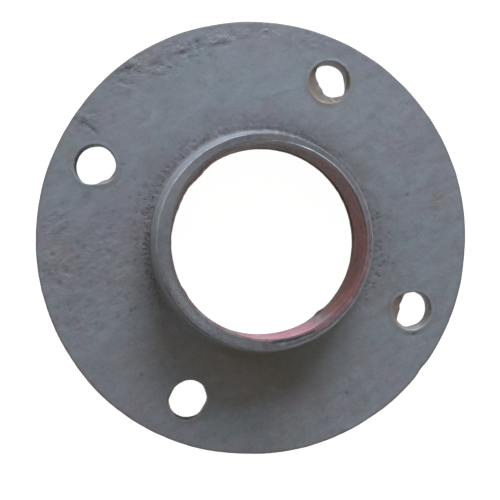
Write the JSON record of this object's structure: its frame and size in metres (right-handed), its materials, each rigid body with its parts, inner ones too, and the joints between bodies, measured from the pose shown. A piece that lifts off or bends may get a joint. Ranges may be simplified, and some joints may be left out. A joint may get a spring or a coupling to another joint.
{
  "type": "toilet flange",
  "caption": "Round steel toilet flange: a flat bolt-down plate with a short tapered neck welded through it, open right through for the soil pipe.",
  "frame": {"origin": "centre of the bolt circle, on the back face of the plate", "axes": "+Z along the neck towards its rim; +X and +Y each through a bolt hole"},
  "size_m": [0.1906, 0.1906, 0.0264],
  "materials": {
    "plate_steel": "dull blue-grey mill scale with fine grain, pits and faint rust; not brushed",
    "neck_steel": "dull scale outside with a worn bright shoulder, red-brown rust in the bore",
    "front_weld_metal": "rough dark granular weld",
    "back_weld_metal": "rough weld, dressed flat and rusted"
  },
  "bodies": {
    "root": {"flange_plate": "plate_steel", "neck_collar": "neck_steel", "front_fillet_weld": "front_weld_metal", "back_seal_weld": "back_weld_metal"}
  },
  "joints": []
}
